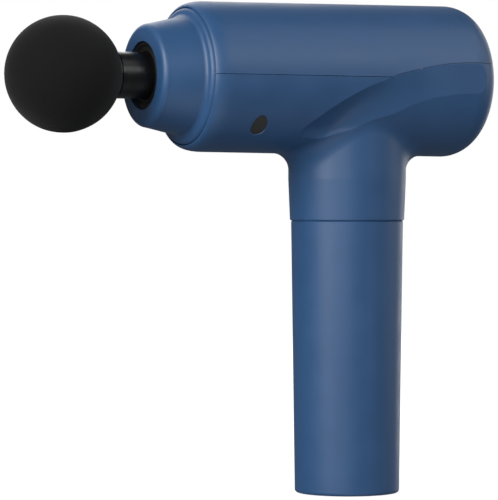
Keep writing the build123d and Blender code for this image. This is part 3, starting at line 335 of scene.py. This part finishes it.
BLUE = (0.0205, 0.0700, 0.172)
RECIPES = {
    "shell_blue": dict(colour=BLUE, rough=0.46, wear=0.3, grain=0.28 * MM, depth=0.012 * MM,
                       mottle=0.05, patch=14 * MM, swing=0.04),
    "cap_plastic": dict(colour=BLUE, rough=0.5, wear=0.35, grain=0.3 * MM, depth=0.02 * MM),
    "foam_black": dict(colour=(0.0062, 0.0062, 0.0064), rough=0.92, specular=0.1, mottle=0.12,
                       patch=6 * MM, grain=0.4 * MM, depth=0.05 * MM, pattern=pitted_with_painted_shade, sheen=0.06),
    "sleeve_black": dict(colour=(0.004, 0.004, 0.0042), rough=0.33, specular=0.4, mottle=0.1,
                         grain=0.5 * MM, depth=0.004 * MM, stretch=(4, 1, 1), wear=0.2),
    "seal_black": dict(colour=(0.006, 0.006, 0.0062), rough=0.6, specular=0.25, grain=0.3 * MM,
                       depth=0.02 * MM),
    "plug_grey": dict(colour=(0.024, 0.0235, 0.024), rough=0.7, grain=0.25 * MM, depth=0.03 * MM,
                      wear=0.15),
    "stem_plastic": dict(colour=(0.014, 0.014, 0.015), rough=0.45, grain=0.3 * MM),
    "switch_black": dict(colour=(0.01, 0.01, 0.0105), rough=0.36, grain=0.3 * MM, depth=0.01 * MM,
                         wear=0.25),
    "chrome_trim": dict(colour=(0.62, 0.62, 0.65), rough=0.12, metallic=1.0, mottle=0.03, swing=0.03,
                        depth=0.001 * MM),
    "display_glass": dict(colour=(0.004, 0.004, 0.005), rough=0.07, mottle=0.05, swing=0.02,
                          depth=0.0005 * MM, coat=1.0),
    "board_green": dict(colour=(0.012, 0.11, 0.05), rough=0.35, pattern=printed_board, coat=0.3,
                        depth=0.02 * MM),
    "digit_white": dict(colour=(0.7, 0.7, 0.74), rough=0.35, grain=0.4 * MM, depth=0.004 * MM),
    "cell_wrap": dict(colour=(0.02, 0.2, 0.24), rough=0.3, coat=0.4, mottle=0.06, stretch=(1, 1, 0.2)),
    "holder_black": dict(colour=(0.016, 0.016, 0.016), rough=0.62, wear=0.2),
    "nickel": dict(colour=(0.58, 0.55, 0.49), rough=0.32, metallic=1.0, stretch=(1, 1, 0.1)),
    "screw_steel": dict(colour=(0.42, 0.42, 0.44), rough=0.34, metallic=1.0, wear=0.3),
    "frame_aluminium": dict(colour=(0.55, 0.56, 0.57), rough=0.42, metallic=1.0, grain=0.6 * MM,
                            depth=0.04 * MM, wear=0.4),
    "plunger_aluminium": dict(colour=(0.6, 0.6, 0.62), rough=0.28, metallic=1.0, stretch=(12, 1, 1),
                              depth=0.01 * MM),
    "bushing_polymer": dict(colour=(0.62, 0.59, 0.5), rough=0.48, grain=0.4 * MM),
    "bearing_steel": dict(colour=(0.56, 0.56, 0.58), rough=0.2, metallic=1.0, wear=0.2,
                          depth=0.005 * MM),
    "bronze": dict(colour=(0.5, 0.3, 0.12), rough=0.36, metallic=1.0, wear=0.3, depth=0.03 * MM),
    "copper": dict(colour=(0.65, 0.24, 0.1), rough=0.3, metallic=1.0, depth=0.15 * MM,
                   pattern=layered(320, (0.2, 0.06, 0.025, 1))),
    "lamination_steel": dict(colour=(0.26, 0.26, 0.28), rough=0.4, metallic=1.0, depth=0.06 * MM,
                             pattern=layered(300, (0.06, 0.06, 0.065, 1))),
    "magnet": dict(colour=(0.4, 0.4, 0.42), rough=0.35, metallic=1.0, wear=0.3),
    "lead_red": dict(colour=(0.3, 0.012, 0.01), rough=0.5, grain=0.3 * MM),
    "lead_black": dict(colour=(0.014, 0.014, 0.014), rough=0.5, grain=0.3 * MM),
    "transistor_black": dict(colour=(0.015, 0.015, 0.015), rough=0.5, grain=0.2 * MM, wear=0.2),
    "capacitor_sleeve": dict(colour=(0.012, 0.02, 0.05), rough=0.25, coat=0.5, stretch=(0.2, 1, 1)),
}
FINISHES = {slot: surface(slot + "_finish", **recipe) for slot, recipe in RECIPES.items()}


def lit(name, colour, glow):
    """Printed or lit display mark: an even plastic film that glows."""
    material = surface(name, colour, 0.4, mottle=0.06, grain=0.3 * MM, depth=0.002 * MM)
    shader = material.node_tree.nodes["Principled BSDF"]
    shader.inputs["Emission Color"].default_value = shade(colour, 1.0)
    shader.inputs["Emission Strength"].default_value = glow
    return material


def dress_cad_nodes():
    """Each CAD node takes its slot's finish."""
    for name, node in NODES.items():
        finish = FINISHES[SLOT_OF[name]]
        if not node.material_slots:
            node.data.materials.append(finish)
        for slot in node.material_slots:
            slot.material = finish


# ---------------------------------------------------------------- meshes
def add_piece(name, form, body, material, smooth=True):
    """A finished bmesh as an object that rides on a body."""
    bmesh.ops.remove_doubles(form, verts=form.verts, dist=1e-7)
    bmesh.ops.recalc_face_normals(form, faces=form.faces)
    mesh = bpy.data.meshes.new(name)
    form.to_mesh(mesh)
    form.free()
    mesh.materials.append(material)
    for face in mesh.polygons:
        face.use_smooth = smooth
    piece = bpy.data.objects.new(name, mesh)
    bpy.context.scene.collection.objects.link(piece)
    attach(piece, body)
    return piece


def turned(form, profile, middle, steps):
    """Closed surface turned round the barrel's axis from (x, radius) points."""
    rings = []
    for x, radius in profile:
        if radius < 1e-7:
            rings.append([form.verts.new((x, middle.y, middle.z))])
            continue
        rings.append([form.verts.new((x, middle.y + radius * cos(2 * pi * i / steps),
                                      middle.z + radius * sin(2 * pi * i / steps)))
                      for i in range(steps)])
    for first, second in zip(rings, rings[1:]):
        for i in range(steps):
            j = (i + 1) % steps
            if len(first) == 1:
                form.faces.new((first[0], second[i], second[j]))
            elif len(second) == 1:
                form.faces.new((first[i], second[0], first[j]))
            else:
                form.faces.new((first[i], second[i], second[j], first[j]))


def make_ball():
    """Foam ball: a full crowned form with a rounded mouth, a bore for its stem and a faint mould line."""
    low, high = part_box("massage_ball")
    stem_low, stem_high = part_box("head_stem")
    middle = (low + high) / 2
    radius = (high.z - low.z) / 2
    centre_x = low.x + radius
    stem_clear, end_clear, lip = 0.1 * MM, 0.3 * MM, 0.7 * MM
    skin, sink = 0.05 * MM, 0.1 * MM  # which points are on the crown, and how far it is drawn in
    broad_swell, fine_swell = 0.09 * MM, 0.02 * MM
    mould_line, mould_half_width = 0.07 * MM, 0.5 * MM
    bore = (stem_high.z - stem_low.z) / 2 + stem_clear
    bore_end = stem_low.x - end_clear
    mouth = sqrt(radius**2 - (high.x - centre_x) ** 2)
    last_angle = atan2(mouth, high.x - centre_x)
    arc_steps, lip_steps, face_steps, bore_steps, steps = 88, 5, 3, 8, 176
    profile = []
    for i in range(arc_steps + 1):
        angle = pi + (last_angle + lip / radius - pi) * i / arc_steps
        profile.append((centre_x + radius * cos(angle), radius * abs(sin(angle))))
    start_x, start_r = profile[-1]
    for i in range(1, lip_steps + 1):
        turn = i / lip_steps * pi / 2
        profile.append((start_x + (high.x - start_x) * sin(turn),
                        start_r - lip * (1 - cos(turn)) - (start_r - mouth) * sin(turn)))
    edge_r = profile[-1][1]
    profile += [(high.x, edge_r + (bore - edge_r) * i / face_steps) for i in range(1, face_steps + 1)]
    profile += [(high.x + (bore_end - high.x) * i / bore_steps, bore) for i in range(1, bore_steps + 1)]
    profile += [(bore_end, bore / 2), (bore_end, 0.0)]
    form = bmesh.new()
    turned(form, profile, middle, steps)
    centre = Vector((centre_x, middle.y, middle.z))
    for vert in form.verts:
        away = vert.co - centre
        if away.length < radius - skin:
            continue
        swell = noise.noise(away.normalized() * 3.0) * broad_swell + noise.noise(away * 900) * fine_swell
        ridge = mould_line * max(0.0, 1 - abs(vert.co.z - centre.z) / mould_half_width)
        vert.co += away.normalized() * (swell - sink + ridge)
    ball = add_piece("foam_ball", form, "head", FINISHES["foam_black"])
    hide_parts("massage_ball")


def slab(form, outline, x_low, x_high):
    """Closed thin slab on the display: its outline is (y, z) points."""
    below = [form.verts.new((x_low, y, z)) for y, z in outline]
    above = [form.verts.new((x_high, y, z)) for y, z in outline]
    form.faces.new(list(reversed(below)))
    form.faces.new(above)
    for i in range(len(outline)):
        j = (i + 1) % len(outline)
        form.faces.new((below[i], below[j], above[j], above[i]))


def rounded(y, z, width, height, radius, steps=5):
    """Outline of a rectangle with round corners."""
    corners = ((1, 1, 0), (-1, 1, 90), (-1, -1, 180), (1, -1, 270))
    points = []
    for side, up, start in corners:
        for i in range(steps + 1):
            angle = radians(start + 90 * i / steps)
            points.append((y + side * (width / 2 - radius) + radius * cos(angle),
                           z + up * (height / 2 - radius) + radius * sin(angle)))
    return points


def ring_band(form, outer, inner, x_low, x_high):
    """Closed band between two outlines with as many points each."""
    count = len(outer)
    loops = [[form.verts.new((x, y, z)) for y, z in outline]
             for outline in (outer, inner) for x in (x_low, x_high)]
    outer_low, outer_high, inner_low, inner_high = loops
    for i in range(count):
        j = (i + 1) % count
        form.faces.new((outer_low[i], outer_low[j], outer_high[j], outer_high[i]))
        form.faces.new((inner_low[j], inner_low[i], inner_high[i], inner_high[j]))
        form.faces.new((outer_high[i], outer_high[j], inner_high[j], inner_high[i]))
        form.faces.new((outer_low[j], outer_low[i], inner_low[i], inner_low[j]))


DIGIT_SEGMENTS = {"2": "abged", "0": "abcdef", "9": "abcdfg"}
SEGMENT_ENDS = {"a": ((0, 2), (1, 2)), "b": ((1, 2), (1, 1)), "c": ((1, 1), (1, 0)),
                "d": ((0, 0), (1, 0)), "e": ((0, 1), (0, 0)), "f": ((0, 2), (0, 1)),
                "g": ((0, 1), (1, 1))}


def digit(form, figure, y, z, x_low, x_high):
    """Slanted seven-segment figure about (y, z): each lit segment is a pointed bar."""
    width, height = FIGURE_SIZE
    for name in DIGIT_SEGMENTS[figure]:
        ends = [Vector(((a - 0.5) * width, (b / 2 - 0.5) * height)) for a, b in SEGMENT_ENDS[name]]
        along = (ends[1] - ends[0]).normalized()
        side = Vector((-along.y, along.x)) * FIGURE_STROKE
        first, last = ends[0] + along * FIGURE_GAP, ends[1] - along * FIGURE_GAP
        point = along * FIGURE_STROKE
        points = [first, first + point + side, last - point + side, last, last - point - side,
                  first + point - side]
        slab(form, [(y + p.x + FIGURE_SLANT * p.y, z + p.y) for p in points], x_low, x_high)


def circle(y, z, radius, steps=48):
    """Outline of a circle."""
    return [(y + radius * cos(2 * pi * i / steps), z + radius * sin(2 * pi * i / steps))
            for i in range(steps)]


def make_windows(base, z):
    """The two violet windows behind the figures."""
    form = bmesh.new()
    for side in (-1, 1):
        slab(form, rounded(side * WINDOW_Y, z, *WINDOW_SIZE, WINDOW_CORNER), base + GRAPHIC_GAP,
             base + GRAPHIC_THICK)
    violet = lit("violet_window_glow", (0.06, 0.04, 0.27), 0.45)
    add_piece("display_windows", form, "root", violet, smooth=False)


def make_figures(base, z):
    """Two bright figures on each window."""
    form = bmesh.new()
    for side, pair in ((-1, "20"), (1, "90")):
        for place, figure in zip((-FIGURE_SHIFT, FIGURE_SHIFT), pair):
            digit(form, figure, side * WINDOW_Y + place, z, base + GRAPHIC_THICK + GRAPHIC_GAP,
                  base + 2 * GRAPHIC_THICK)
    bright = lit("figure_glow", (0.80, 0.74, 1.0), 1.3)
    add_piece("display_figures", form, "root", bright, smooth=False)


def add_button(form, y, z, x_low, x_high, plus):
    """Ring of a touch area with a minus in it, or a plus."""
    ring_band(form, circle(y, z, BUTTON_OUTER_R), circle(y, z, BUTTON_INNER_R), x_low, x_high)
    slab(form, rounded(y, z, SIGN_LENGTH, SIGN_THICK, SIGN_CORNER), x_low, x_high)
    if plus:
        for up in (-1, 1):
            slab(form, rounded(y, z + up * SIGN_ARM_SHIFT, SIGN_THICK, SIGN_ARM, SIGN_CORNER), x_low, x_high)


def add_speed_icon(form, y, z, x_low, x_high):
    """A round-cornered frame with five bars that grow."""
    bar_count, bar_pitch, bar_width, bar_corner = 5, 0.8 * MM, 0.42 * MM, 0.08 * MM
    first_bar, bar_growth, bar_foot = 0.5, 0.22, 0.7 * MM
    ring_band(form, rounded(y, z, 5.3 * MM, 2.75 * MM, 0.55 * MM),
              rounded(y, z, 4.6 * MM, 2.05 * MM, 0.3 * MM), x_low, x_high)
    for i in range(bar_count):
        tall = (first_bar + bar_growth * i) * MM
        middle = z - bar_foot + tall / 2
        slab(form, rounded(y + (i - 2) * bar_pitch, middle, bar_width, tall, bar_corner), x_low, x_high)


def add_battery_icon(form, y, z, x_low, x_high):
    """A frame with a narrower tip, and three bars of charge."""
    line, half_width, half_height, tip = 0.38 * MM, 2.2 * MM, 1.4 * MM, 3.1 * MM
    tip_half_height, foot = 0.35 * MM, 0.5 * MM
    bar_pitch, bar_size, bar_corner = 1.25 * MM, (0.75 * MM, 1.2 * MM), 0.12 * MM
    shapes = []
    for inset in (0.0, line):
        left, right = y - half_width + inset - foot, y + half_width - inset
        low, high, end = z - half_height + inset, z + half_height - inset, y + tip - 1.3 * inset
        shapes.append([(left, low), (right, low), (end, z - tip_half_height), (end, z + tip_half_height),
                       (right, high), (left, high)])
    ring_band(form, shapes[0], shapes[1], x_low, x_high)
    for i in range(3):
        slab(form, rounded(y + (i - 1.4) * bar_pitch, z, *bar_size, bar_corner), x_low, x_high)


def make_marks(base, button_z, icon_z):
    """Touch marks and icons, all in one white print."""
    form = bmesh.new()
    x_low, x_high = base + GRAPHIC_GAP, base + GRAPHIC_THICK
    for side in (-1, 1):
        add_button(form, side * BUTTON_Y, button_z, x_low, x_high, plus=side < 0)
    add_speed_icon(form, -ICON_Y, icon_z, x_low, x_high)
    add_battery_icon(form, ICON_Y, icon_z, x_low, x_high)
    white = lit("white_print", (0.78, 0.78, 0.8), 0.55)
    add_piece("display_marks", form, "root", white, smooth=False)


def make_display():
    """Figures, icons and touch marks on the round glass."""
    low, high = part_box("display_glass")
    middle_z = (low.z + high.z) / 2
    make_windows(high.x, middle_z + WINDOW_RISE)
    make_figures(high.x, middle_z + WINDOW_RISE)
    make_marks(high.x, middle_z - BUTTON_DROP, middle_z + ICON_RISE)


make_camera()
make_world()
make_floor()
make_lights()
dress_cad_nodes()
make_ball()
make_display()

bpy.context.scene.view_settings.view_transform = "Standard"
